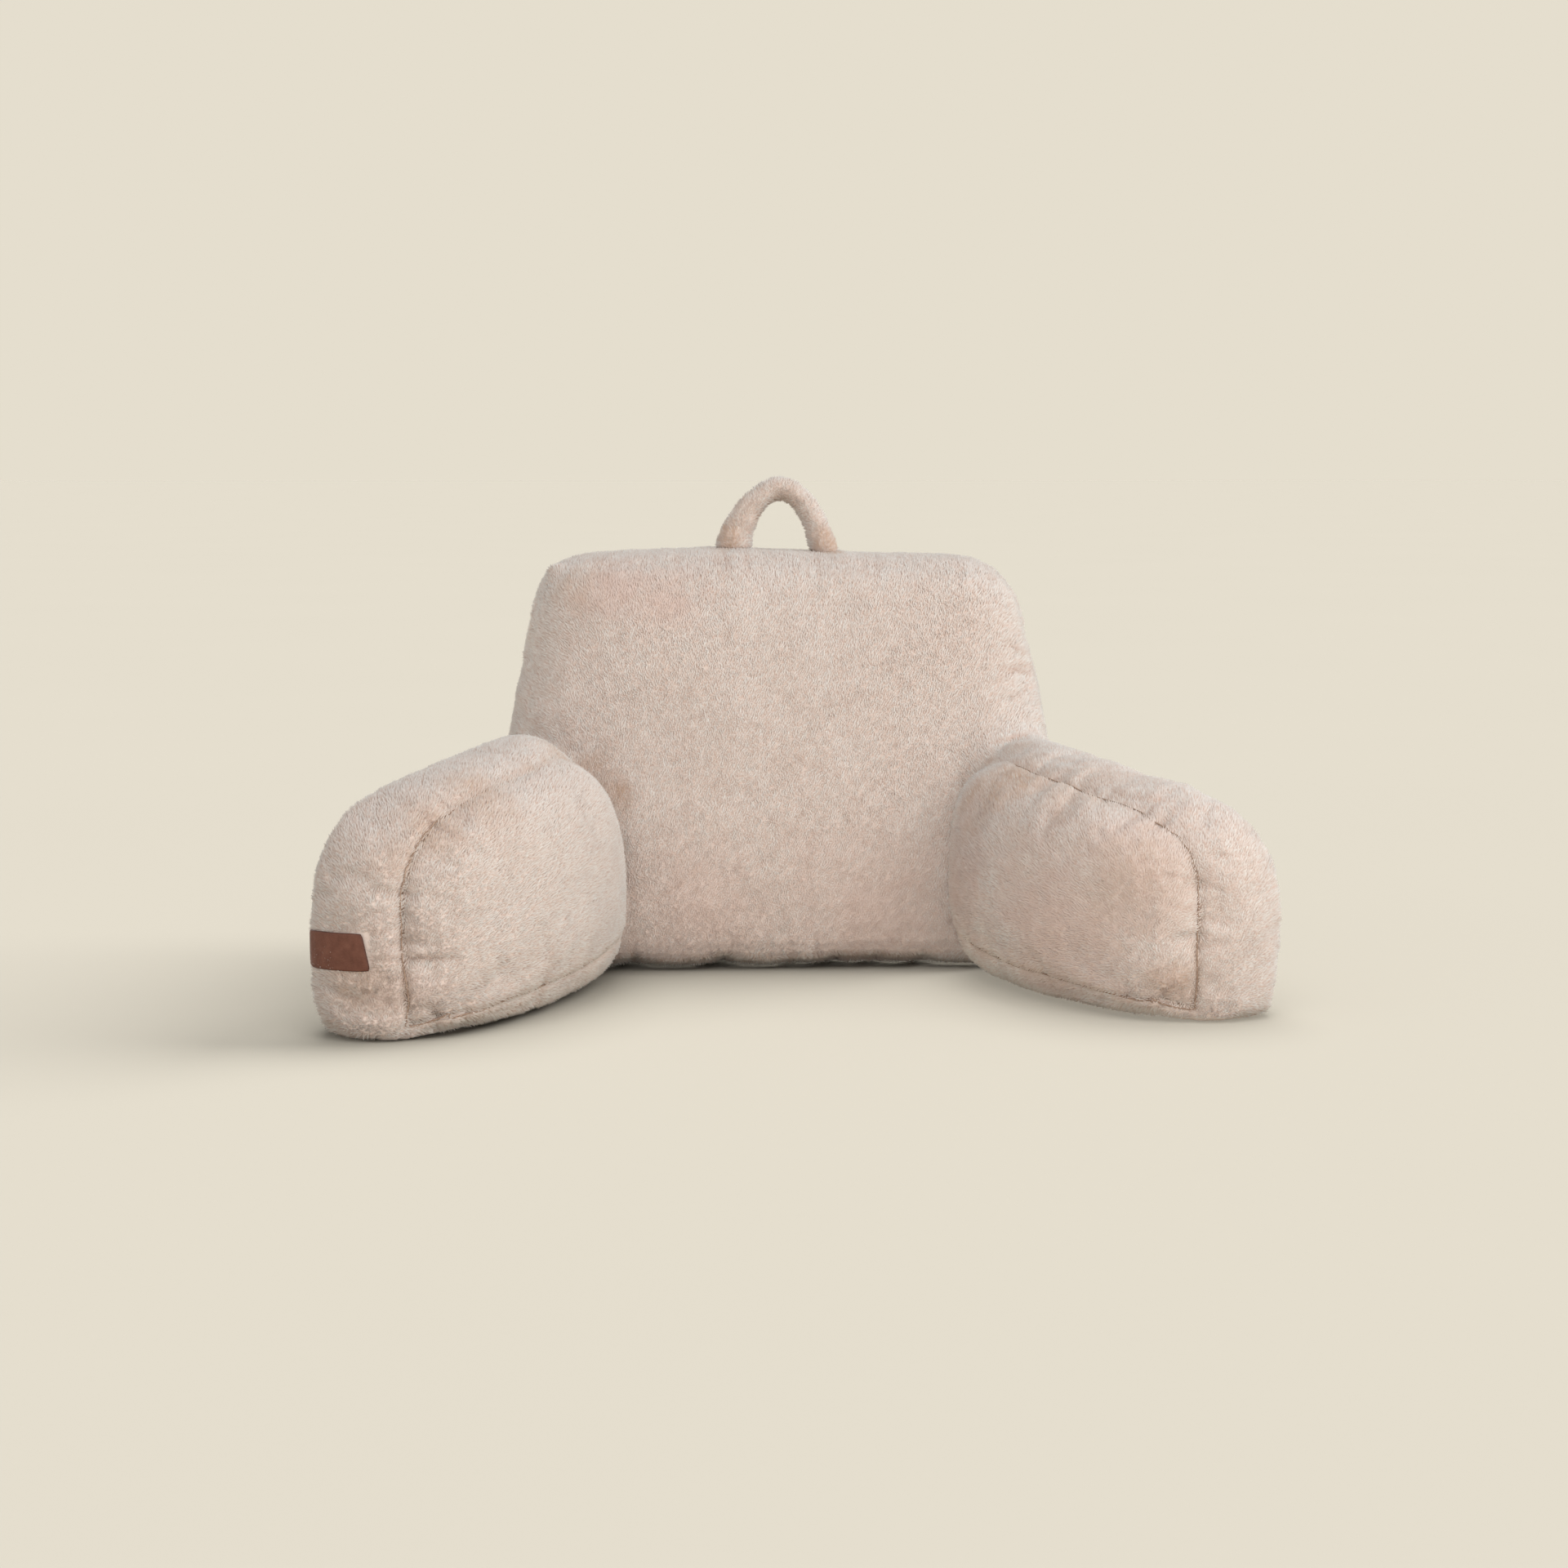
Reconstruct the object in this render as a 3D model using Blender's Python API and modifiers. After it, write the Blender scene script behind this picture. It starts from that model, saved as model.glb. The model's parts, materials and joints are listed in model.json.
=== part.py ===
"""Backrest pillow: a filled back cushion with a boxed edge, two filled arms that
splay forward on the floor, a stuffed carrying loop on the top and a small leather
patch on one arm. Metres, +Z up. The pillow faces -Y, and left and right are as seen
from the front. The origin is under the middle of the whole pillow, on the floor."""
import math
from collections import namedtuple

import bmesh
import bpy
from mathutils import Matrix, Vector
from mathutils.bvhtree import BVHTree

# Gap between two pieces that are sewn together.
CLEARANCE = 0.0004

Form = namedtuple("Form", "corners centre points swell roundness pinch")

# The back panel seen from the front. Corners are x, z and corner radius.
BACK = Form(
    corners=(
        (-0.302, 0.000, 0.045),
        (-0.265, 0.235, 0.300),
        (-0.239, 0.398, 0.062),
        (-0.070, 0.409, 0.900),
        (0.060, 0.401, 0.900),
        (0.231, 0.399, 0.074),
        (0.258, 0.235, 0.300),
        (0.294, 0.000, 0.045),
    ),
    centre=(0.0, 0.200),
    points=38,
    swell=0.009,
    roundness=2.3,
    pinch=0.003,
)
BACK_HEIGHT = 0.41
BACK_FRONT_FOOT = -0.022
BACK_FRONT_HEAD = 0.050
BACK_REAR_FOOT = 0.175
BACK_REAR_HEAD = 0.163
BACK_CROWN_FRONT = 0.038
BACK_CROWN_REAR = 0.024

# The arms' side panels. Corners are distance from the root, height and corner radius.
ARM_LEFT = Form(
    corners=(
        (-0.024, 0.000, 0.085),
        (-0.022, 0.135, 0.160),
        (0.034, 0.206, 0.160),
        (0.115, 0.236, 0.300),
        (0.347, 0.199, 0.110),
        (0.337, 0.000, 0.030),
    ),
    centre=(0.108, 0.108),
    points=32,
    swell=0.016,
    roundness=2.05,
    pinch=0.004,
)
ARM_RIGHT = Form(
    corners=(
        (-0.024, 0.000, 0.085),
        (-0.024, 0.223, 0.125),
        (0.150, 0.215, 0.500),
        (0.348, 0.203, 0.105),
        (0.337, 0.000, 0.030),
    ),
    centre=(0.108, 0.108),
    points=32,
    swell=0.016,
    roundness=2.05,
    pinch=0.004,
)
ARM_LENGTH = 0.34

Arm = namedtuple("Arm", "name form side splay root_x root_y stretch thickness "
                        "inner_crown outer_crown bow fall slant")

# The arms differ a little, as stuffed arms do: splay in degrees, length factor,
# thickness between the seams, crowns of the two side panels, bow towards the seat,
# fall of the top towards the front and slant of the rear end.
ARMS = (
    Arm("arm_left", ARM_LEFT, -1, 25.5, 0.226, 0.020, 1.17, 0.096, 0.056, 0.034,
        0.032, 0.01, 0.034),
    Arm("arm_right", ARM_RIGHT, 1, 27.5, 0.226, 0.020, 1.06, 0.096, 0.072, 0.032,
        0.026, 0.09, 0.034),
)

# Section through a filled form, from the middle of the first panel to the middle of
# the second: inset from the seam, side, and share of the band's swell. A share of -1
# is a seam, which is drawn in.
SECTION = (
    (1.00, -1.00, 0.00),
    (0.72, -1.00, 0.00),
    (0.44, -1.00, 0.00),
    (0.22, -1.00, 0.00),
    (0.07, -1.00, 0.00),
    (0.00, -1.00, -1.00),
    (0.00, -0.78, 0.55),
    (0.00, -0.30, 1.00),
    (0.00, 0.30, 1.00),
    (0.00, 0.78, 0.55),
    (0.00, 1.00, -1.00),
    (0.07, 1.00, 0.00),
    (0.26, 1.00, 0.00),
    (0.60, 1.00, 0.00),
    (1.00, 1.00, 0.00),
)

# Middle line of the carrying loop: x, height and share of the tube's radius.
LOOP_LINE = (
    (-0.053, 0.375, 1.23),
    (-0.0487, 0.415, 1.18),
    (-0.0405, 0.439, 1.00),
    (-0.0268, 0.461, 0.76),
    (-0.0020, 0.4750, 0.70),
    (0.0200, 0.4645, 0.73),
    (0.0325, 0.4475, 0.82),
    (0.0405, 0.4270, 0.94),
    (0.0447, 0.410, 1.00),
    (0.048, 0.375, 1.05),
)
LOOP_Y = 0.105
LOOP_RADIUS = 0.0158

# Leather patch on the front band of the left arm, beside its outer seam.
PATCH_LENGTH = 0.044
PATCH_HEIGHT = 0.034
PATCH_THICKNESS = 0.0016
PATCH_LIFT = 0.0014
PATCH_MIDDLE_HEIGHT = 0.081
PATCH_TURN = -0.08
PATCH_BEND_RADIUS = 0.105
PATCH_BEND_CENTRE = 0.25


def clear_scene():
    for item in list(bpy.data.objects):
        bpy.data.objects.remove(item, do_unlink=True)


def new_collection(name):
    collection = bpy.data.collections.new(name)
    bpy.context.scene.collection.children.link(collection)
    return collection


def add_object(name, mesh, colour, roughness, collection):
    """Link a mesh as a named object with a material of its own."""
    material = bpy.data.materials.new(name)
    material.use_nodes = True
    shader = material.node_tree.nodes["Principled BSDF"]
    shader.inputs["Base Color"].default_value = (*colour, 1.0)
    shader.inputs["Roughness"].default_value = roughness
    mesh.materials.clear()
    mesh.materials.append(material)
    item = bpy.data.objects.new(name, mesh)
    collection.objects.link(item)
    return item


def evaluated(item):
    bpy.context.view_layer.update()
    return item.evaluated_get(bpy.context.evaluated_depsgraph_get())


def rounded_outline(corners, count):
    """Points along a polygon with rounded corners, closer together in the corners."""
    path = []
    for i, corner in enumerate(corners):
        here = Vector(corner[:2])
        before = Vector(corners[i - 1][:2]) - here
        after = Vector(corners[(i + 1) % len(corners)][:2]) - here
        reach = corner[2] / math.tan(before.angle(after) / 2.0)
        reach = min(reach, before.length * 0.48, after.length * 0.48)
        start = here + before.normalized() * reach
        end = here + after.normalized() * reach
        for step in range(13):
            t = step / 12.0
            path.append(start * (1 - t) ** 2 + here * 2 * t * (1 - t) + end * t * t)
    total = len(path)
    length = sum((path[i] - path[i - 1]).length for i in range(total))
    marks = [0.0]
    for i in range(total):
        step = path[(i + 1) % total] - path[i]
        turn = step.angle(path[(i + 2) % total] - path[(i + 1) % total], 0.0)
        marks.append(marks[-1] + step.length / length + 1.1 * turn / math.tau)
    points = []
    for k in range(count):
        target = marks[-1] * k / count
        i = max(j for j in range(total) if marks[j] <= target)
        span = marks[i + 1] - marks[i]
        share = (target - marks[i]) / span if span > 0 else 0.0
        points.append(path[i].lerp(path[(i + 1) % total], share))
    return points


def outline_normals(points):
    """Outward normals of a closed outline."""
    turning = sum(points[i - 1].cross(points[i]) for i in range(len(points)))
    sign = 1.0 if turning > 0 else -1.0
    normals = []
    for i in range(len(points)):
        along = points[(i + 1) % len(points)] - points[i - 1]
        normals.append(Vector((along.y, -along.x)).normalized() * sign)
    return normals


def crown(inset, roundness):
    """Share of a panel's crown at an inset from its seam."""
    return (1.0 - (1.0 - inset) ** roundness) ** (1.0 / roundness)


def filled_form(name, form, place, colour, collection):
    """A closed form with two crowned panels and a swelling band between two seams."""
    rows = len(SECTION) - 1
    points = rounded_outline(form.corners, form.points)
    normals = outline_normals(points)
    middle = Vector(form.centre)
    bm = bmesh.new()
    bmesh.ops.create_uvsphere(bm, u_segments=form.points, v_segments=rows, radius=1.0)
    for vert in bm.verts:
        row = round(math.acos(max(-1.0, min(1.0, vert.co.z))) / math.pi * rows)
        turn = math.atan2(vert.co.y, vert.co.x) / math.tau
        column = round(turn * form.points) % form.points
        inset, side, share = SECTION[row]
        point = points[column].lerp(middle, inset)
        if share < 0:
            point -= normals[column] * form.pinch
            pull = form.pinch * 0.6
        else:
            point += normals[column] * form.swell * share
            pull = 0.0
        vert.co = place(point.x, point.y, side, crown(inset, form.roundness), pull)
    bmesh.ops.recalc_face_normals(bm, faces=bm.faces)
    if bm.calc_volume(signed=True) < 0:
        bmesh.ops.reverse_faces(bm, faces=bm.faces)
    for face in bm.faces:
        face.smooth = True
    mesh = bpy.data.meshes.new(name)
    bm.to_mesh(mesh)
    bm.free()
    item = add_object(name, mesh, colour, 0.95, collection)
    smooth = item.modifiers.new("smooth", "SUBSURF")
    smooth.levels = 1
    smooth.render_levels = 1
    return item


def place_back(x, z, side, rise, pull):
    """A point of the back, whose front leans and whose rear stands upright."""
    share = z / BACK_HEIGHT
    front = BACK_FRONT_FOOT + (BACK_FRONT_HEAD - BACK_FRONT_FOOT) * share
    rear = BACK_REAR_FOOT + (BACK_REAR_HEAD - BACK_REAR_FOOT) * share
    if side <= -1.0:
        y = front - BACK_CROWN_FRONT * rise + pull
    elif side >= 1.0:
        y = rear + BACK_CROWN_REAR * rise - pull
    else:
        y = (front + rear) / 2.0 + (rear - front) / 2.0 * side
    return Vector((x, y, max(z, 0.0)))


def arm_axes(arm):
    """Directions along and across an arm, and its root on the floor."""
    splay = math.radians(arm.splay)
    along = Vector((arm.side * math.sin(splay), -math.cos(splay), 0.0))
    across = Vector((arm.side * math.cos(splay), math.sin(splay), 0.0))
    root = Vector((arm.side * arm.root_x, arm.root_y, 0.0))
    return along, across, root


def place_arm(arm):
    """The function that puts an arm's points in place."""
    along, across, root = arm_axes(arm)
    half = arm.thickness / 2.0

    def place(distance, height, side, rise, pull):
        if side <= -1.0:
            offset = -half - arm.inner_crown * rise + pull
        elif side >= 1.0:
            offset = half + arm.outer_crown * rise - pull
        else:
            offset = half * side
        share = max(distance, 0.0) / ARM_LENGTH
        offset -= arm.bow * 4.0 * share * (1.0 - share)
        reach = distance * arm.stretch - arm.slant * side * (1.0 - share)
        spot = root + along * reach + across * offset
        spot.z = max(height, 0.0) * (1.0 - arm.fall * share)
        return spot

    return place


def carrying_loop(colour, collection):
    """A bent stuffed tube whose ends run into the top of the back."""
    curve = bpy.data.curves.new("loop_line", "CURVE")
    curve.dimensions = "3D"
    curve.bevel_depth = LOOP_RADIUS
    curve.bevel_resolution = 3
    curve.resolution_u = 5
    curve.use_fill_caps = True
    line = curve.splines.new("BEZIER")
    line.bezier_points.add(len(LOOP_LINE) - 1)
    for knot, (x, z, share) in zip(line.bezier_points, LOOP_LINE):
        knot.co = (x, LOOP_Y, z)
        knot.radius = share
        knot.handle_left_type = "AUTO"
        knot.handle_right_type = "AUTO"
    holder = bpy.data.objects.new("loop_line", curve)
    collection.objects.link(holder)
    mesh = bpy.data.meshes.new_from_object(evaluated(holder))
    mesh.transform(holder.matrix_world)
    bpy.data.objects.remove(holder, do_unlink=True)
    bm = bmesh.new()
    bm.from_mesh(mesh)
    bmesh.ops.remove_doubles(bm, verts=bm.verts, dist=0.00005)
    bmesh.ops.recalc_face_normals(bm, faces=bm.faces)
    bm.to_mesh(mesh)
    bm.free()
    return add_object("handle", mesh, colour, 0.95, collection)


def leather_patch(item, arm, colour, collection):
    """A thin patch that follows the arm's front band."""
    shape = evaluated(item).to_mesh()
    tree = BVHTree.FromPolygons([v.co[:] for v in shape.vertices],
                                [p.vertices[:] for p in shape.polygons])
    along, across, root = arm_axes(arm)
    hub = root + along * PATCH_BEND_CENTRE
    bm = bmesh.new()
    bmesh.ops.create_grid(bm, x_segments=11, y_segments=6, size=0.5)
    for vert in bm.verts:
        turn = PATCH_TURN + vert.co.x * PATCH_LENGTH / PATCH_BEND_RADIUS
        out = along * math.cos(turn) - across * math.sin(turn)
        level = Vector((0.0, 0.0, PATCH_MIDDLE_HEIGHT + vert.co.y * PATCH_HEIGHT))
        spot, normal, _, _ = tree.ray_cast(hub + level + out * 0.4, -out)
        lift = PATCH_LIFT if normal.dot(out) > 0 else -PATCH_LIFT
        vert.co = spot + normal * lift
    bmesh.ops.recalc_face_normals(bm, faces=bm.faces)
    if sum(face.normal.dot(along) for face in bm.faces) < 0:
        bmesh.ops.reverse_faces(bm, faces=bm.faces)
    mesh = bpy.data.meshes.new("label")
    bm.to_mesh(mesh)
    bm.free()
    patch = add_object("label", mesh, colour, 0.6, collection)
    thick = patch.modifiers.new("thickness", "SOLIDIFY")
    thick.thickness = PATCH_THICKNESS
    thick.offset = 1.0
    return patch


def clearance_cutter(source, collection):
    """The source form grown by the gap that its neighbours keep to it."""
    cutter = source.copy()
    cutter.data = source.data.copy()
    cutter.name = source.name + "_clearance"
    collection.objects.link(cutter)
    grow = cutter.modifiers.new("grow", "DISPLACE")
    grow.strength = CLEARANCE
    grow.mid_level = 0.0
    cutter.hide_render = True
    cutter.display_type = "WIRE"
    return cutter


def trim(item, cutter):
    """Cut a piece back from its neighbour."""
    cut = item.modifiers.new("trim", "BOOLEAN")
    cut.operation = "DIFFERENCE"
    cut.solver = "EXACT"
    cut.object = cutter


def centre_on_floor(pillow, cutters):
    """Move everything so that the origin is under the middle of the pillow."""
    corners = []
    for item in pillow.objects:
        corners += [v.co.copy() for v in evaluated(item).to_mesh().vertices]
    low = Vector([min(c[i] for c in corners) for i in range(3)])
    high = Vector([max(c[i] for c in corners) for i in range(3)])
    middle = (low + high) / 2.0
    move = Matrix.Translation((-middle.x, -middle.y, -low.z))
    for item in list(pillow.objects) + list(cutters.objects):
        item.data.transform(move)


def build():
    clear_scene()
    pillow = new_collection("backrest_pillow")
    cutters = new_collection("cutters")
    plush = (0.66, 0.54, 0.47)
    back = filled_form("back_cushion", BACK, place_back, plush, pillow)
    cutter = clearance_cutter(back, cutters)
    for arm in ARMS:
        item = filled_form(arm.name, arm.form, place_arm(arm), plush, pillow)
        trim(item, cutter)
        if arm.name == "arm_left":
            leather_patch(item, arm, (0.16, 0.05, 0.03), pillow)
    trim(carrying_loop(plush, pillow), cutter)
    centre_on_floor(pillow, cutters)


build()
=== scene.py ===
import json
import math
from collections import namedtuple

import bmesh
import bpy
import numpy as np
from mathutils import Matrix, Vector, kdtree
from mathutils.bvhtree import BVHTree

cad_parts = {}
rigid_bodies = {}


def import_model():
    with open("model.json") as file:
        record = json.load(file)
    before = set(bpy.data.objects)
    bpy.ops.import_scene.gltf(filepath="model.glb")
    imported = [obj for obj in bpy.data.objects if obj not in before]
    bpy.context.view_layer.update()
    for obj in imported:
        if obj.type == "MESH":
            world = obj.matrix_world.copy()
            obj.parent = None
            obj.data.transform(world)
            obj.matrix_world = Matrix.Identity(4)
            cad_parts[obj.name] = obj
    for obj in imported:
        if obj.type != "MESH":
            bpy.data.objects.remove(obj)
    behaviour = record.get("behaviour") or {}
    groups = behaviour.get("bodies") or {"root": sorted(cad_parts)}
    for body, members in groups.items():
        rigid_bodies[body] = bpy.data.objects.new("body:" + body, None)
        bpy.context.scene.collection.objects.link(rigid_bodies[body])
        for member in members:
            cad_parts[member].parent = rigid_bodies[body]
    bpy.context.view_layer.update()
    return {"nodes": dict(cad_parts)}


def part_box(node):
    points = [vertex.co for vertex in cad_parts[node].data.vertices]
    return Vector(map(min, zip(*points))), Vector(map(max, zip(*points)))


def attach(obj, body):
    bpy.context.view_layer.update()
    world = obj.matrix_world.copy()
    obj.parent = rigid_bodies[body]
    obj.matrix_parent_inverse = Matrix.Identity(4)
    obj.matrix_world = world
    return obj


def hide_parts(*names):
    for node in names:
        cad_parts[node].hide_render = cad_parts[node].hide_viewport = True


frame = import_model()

NODES = frame["nodes"]

# The forms of the solids, repeated here so that the seams are sewn on their lines: corners
# of an outline with their radii, how far the seam lies inside it, and its points.
Form = namedtuple("Form", "corners pinch points")
BACK = Form(((-0.302, 0.000, 0.045), (-0.265, 0.235, 0.300), (-0.239, 0.398, 0.062),
             (-0.070, 0.409, 0.900), (0.060, 0.401, 0.900), (0.231, 0.399, 0.074),
             (0.258, 0.235, 0.300), (0.294, 0.000, 0.045)), 0.003, 38)
ARM_LEFT = Form(((-0.024, 0.000, 0.085), (-0.022, 0.135, 0.160), (0.034, 0.206, 0.160),
                 (0.115, 0.236, 0.300), (0.347, 0.199, 0.110), (0.337, 0.000, 0.030)),
                0.004, 32)
ARM_RIGHT = Form(((-0.024, 0.000, 0.085), (-0.024, 0.223, 0.125), (0.150, 0.215, 0.500),
                  (0.348, 0.203, 0.105), (0.337, 0.000, 0.030)), 0.004, 32)
ARM_LENGTH = 0.34
# An arm stands on the floor and splays by some degrees from straight ahead. It bows
# inwards, and its top falls towards its front.
Arm = namedtuple("Arm", "form side splay root_x root_y stretch thickness bow fall slant")
ARMS = {
    "arm_left": Arm(ARM_LEFT, -1, 25.5, 0.226, 0.020, 1.17, 0.096, 0.032, 0.01, 0.034),
    "arm_right": Arm(ARM_RIGHT, 1, 27.5, 0.226, 0.020, 1.06, 0.096, 0.026, 0.09, 0.034),
}
MOVE = Vector((0.0041, 0.0853, 0.0))    # brings the middle of the pillow over the origin

PILE = 0.0036            # height of the pile over the cover
LOOP_PILE = 0.0032       # the same on the carrying loop
SPACING = 0.00193        # distance between tufts where the pillow is seen from the front
REAR_SPACING = 0.0025
LEAN = 40                # degrees from upright
TUFT_WIDTH = 0.0022

COVER_VOXEL = 0.0043     # size of the cover's faces
LOOP_VOXEL = 0.0028      # the same on the carrying loop
BLOWN_VOXEL = 0.007      # the same on the coarse cover that is blown up
CLOTH_FRAMES = 16
PRESSURE = 4.0
LARGEST_SHIFT = 0.006    # how far the blown-up cover may move


def hash01(ix, iy, iz, seed):
    """A repeatable number from 0 to 1 for each lattice point."""
    h = (ix * 374761393 + iy * 668265263 + iz * 2147483647 + seed * 1274126177)
    h = h.astype(np.int64) & 0xFFFFFFFF
    h = ((h ^ (h >> 13)) * 1274126177) & 0xFFFFFFFF
    h = ((h ^ (h >> 16)) * 2246822519) & 0xFFFFFFFF
    h = h ^ (h >> 15)
    return (h & 0xFFFFFF) / float(0xFFFFFF)


def noise(points, size, seed):
    """Smooth noise from -1 to 1 at points, with bumps about size apart."""
    q = np.asarray(points) / size + 1000.0
    base = np.floor(q).astype(np.int64)
    f = q - base
    f = f * f * (3.0 - 2.0 * f)
    total = np.zeros(len(q))
    for dx in (0, 1):
        wx = f[:, 0] if dx else 1.0 - f[:, 0]
        for dy in (0, 1):
            wy = f[:, 1] if dy else 1.0 - f[:, 1]
            for dz in (0, 1):
                wz = f[:, 2] if dz else 1.0 - f[:, 2]
                value = hash01(base[:, 0] + dx, base[:, 1] + dy, base[:, 2] + dz, seed)
                total += wx * wy * wz * value
    return total * 2.0 - 1.0


def vector_noise(points, size, seed):
    return np.stack([noise(points, size, seed + k * 17) for k in range(3)], axis=1)


def unit(v):
    return v / np.maximum(np.linalg.norm(v, axis=1, keepdims=True), 1e-12)


def tree_of(mesh):
    return BVHTree.FromPolygons([v.co[:] for v in mesh.vertices],
                                [p.vertices[:] for p in mesh.polygons])


def coordinates(mesh):
    co = np.empty(len(mesh.vertices) * 3)
    mesh.vertices.foreach_get("co", co)
    return co.reshape(-1, 3)


def vertex_normals(mesh):
    n = np.empty(len(mesh.vertices) * 3)
    mesh.vertex_normals.foreach_get("vector", n)
    return n.reshape(-1, 3)


def set_coordinates(mesh, co):
    mesh.vertices.foreach_set("co", np.ascontiguousarray(co, dtype=np.float32).ravel())
    mesh.update()


def linked(name, data):
    item = bpy.data.objects.new(name, data)
    bpy.context.scene.collection.objects.link(item)
    return item


def point_tree(points):
    tree = kdtree.KDTree(len(points))
    for i, spot in enumerate(points):
        tree.insert(spot, i)
    tree.balance()
    return tree


def smooth_faces(mesh):
    for face in mesh.polygons:
        face.use_smooth = True


def float_layer(mesh, name, values):
    layer = mesh.attributes.new(name, "FLOAT", "POINT")
    layer.data.foreach_set("value", np.ascontiguousarray(values, dtype=np.float32))


CAD_TREES = {name: tree_of(item.data) for name, item in NODES.items()}


def rounded_outline(corners, count):
    """Points along a polygon with rounded corners, as the solids are built."""
    path = []
    for i, corner in enumerate(corners):
        here = Vector(corner[:2])
        before = Vector(corners[i - 1][:2]) - here
        after = Vector(corners[(i + 1) % len(corners)][:2]) - here
        reach = corner[2] / math.tan(before.angle(after) / 2.0)
        reach = min(reach, before.length * 0.48, after.length * 0.48)
        start = here + before.normalized() * reach
        end = here + after.normalized() * reach
        for step in range(13):
            t = step / 12.0
            path.append(start * (1 - t) ** 2 + here * 2 * t * (1 - t) + end * t * t)
    total = len(path)
    length = sum((path[i] - path[i - 1]).length for i in range(total))
    marks = [0.0]
    for i in range(total):
        step = path[(i + 1) % total] - path[i]
        turn = step.angle(path[(i + 2) % total] - path[(i + 1) % total], 0.0)
        marks.append(marks[-1] + step.length / length + 1.1 * turn / math.tau)
    points = []
    for k in range(count):
        target = marks[-1] * k / count
        i = max(j for j in range(total) if marks[j] <= target)
        span = marks[i + 1] - marks[i]
        share = (target - marks[i]) / span if span > 0 else 0.0
        points.append(path[i].lerp(path[(i + 1) % total], share))
    return points


def outline_normals(points):
    turning = sum(points[i - 1].cross(points[i]) for i in range(len(points)))
    sign = 1.0 if turning > 0 else -1.0
    normals = []
    for i in range(len(points)):
        along = points[(i + 1) % len(points)] - points[i - 1]
        normals.append(Vector((along.y, -along.x)).normalized() * sign)
    return normals


def place_back(x, z, side):
    share = z / 0.41
    front = -0.022 + 0.072 * share
    rear = 0.175 - 0.012 * share
    pull = BACK.pinch * 0.6
    y = front + pull if side < 0 else rear - pull
    return Vector((x, y, max(z, 0.0)))


def arm_axes(arm):
    splay = math.radians(arm.splay)
    along = Vector((arm.side * math.sin(splay), -math.cos(splay), 0.0))
    across = Vector((arm.side * math.cos(splay), math.sin(splay), 0.0))
    root = Vector((arm.side * arm.root_x, arm.root_y, 0.0))
    return along, across, root


def place_arm(arm):
    along, across, root = arm_axes(arm)
    half = arm.thickness / 2.0

    def place(distance, height, side):
        pull = arm.form.pinch * 0.6
        offset = -half + pull if side < 0 else half - pull
        share = max(distance, 0.0) / ARM_LENGTH
        offset -= arm.bow * 4.0 * share * (1.0 - share)
        reach = distance * arm.stretch - arm.slant * side * (1.0 - share)
        spot = root + along * reach + across * offset
        spot.z = max(height, 0.0) * (1.0 - arm.fall * share)
        return spot

    return place


def smooth_loop(knots, tree, wander):
    """Close points on a solid along a smooth closed line through the knots, which
    wanders a little as sewn fur does."""
    count = len(knots)
    line = []
    for i in range(count):
        a, b = knots[i - 1], knots[i]
        c, d = knots[(i + 1) % count], knots[(i + 2) % count]
        for step in range(12):
            t = step / 12.0
            spot = 0.5 * ((2 * b) + (c - a) * t + (2 * a - 5 * b + 4 * c - d) * t * t
                          + (3 * b - a - 3 * c + d) * t ** 3)
            line.append(spot)
    line = np.array([p[:] for p in line])
    line += vector_noise(line, 0.016, 11) * wander + vector_noise(line, 0.040, 12) * wander
    return np.array([tree.find_nearest(p)[0][:] for p in line])


def back_seam(side):
    outline = rounded_outline(BACK.corners, BACK.points)
    knots = []
    for point, normal in zip(outline, outline_normals(outline)):
        inner = point - normal * BACK.pinch
        knots.append(place_back(inner.x, inner.y, side) + MOVE)
    return smooth_loop(knots, CAD_TREES["back_cushion"], 0.0008)


def arm_seam(name, side):
    """Seam round an arm's side panel. Along the floor the inner one rides up."""
    arm = ARMS[name]
    place = place_arm(arm)
    tree = CAD_TREES[name]
    across = arm_axes(arm)[1]
    outline = rounded_outline(arm.form.corners, arm.form.points)
    knots = []
    for point, normal in zip(outline, outline_normals(outline)):
        inner = point - normal * arm.form.pinch
        knot = place(inner.x, inner.y, side) + MOVE
        if side < 0 and knot.z < 0.012 and 0.02 < inner.x:
            share = min(max(inner.x / ARM_LENGTH, 0.0), 1.0)
            rise = (0.009 if arm.side < 0 else 0.015) + 0.044 * (1.0 - share)
            knot = tree.find_nearest(Vector((knot.x, knot.y, rise)) - across * 0.04)[0]
        knots.append(knot)
    return smooth_loop(knots, tree, 0.0008 if arm.side < 0 else 0.0014)


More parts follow.
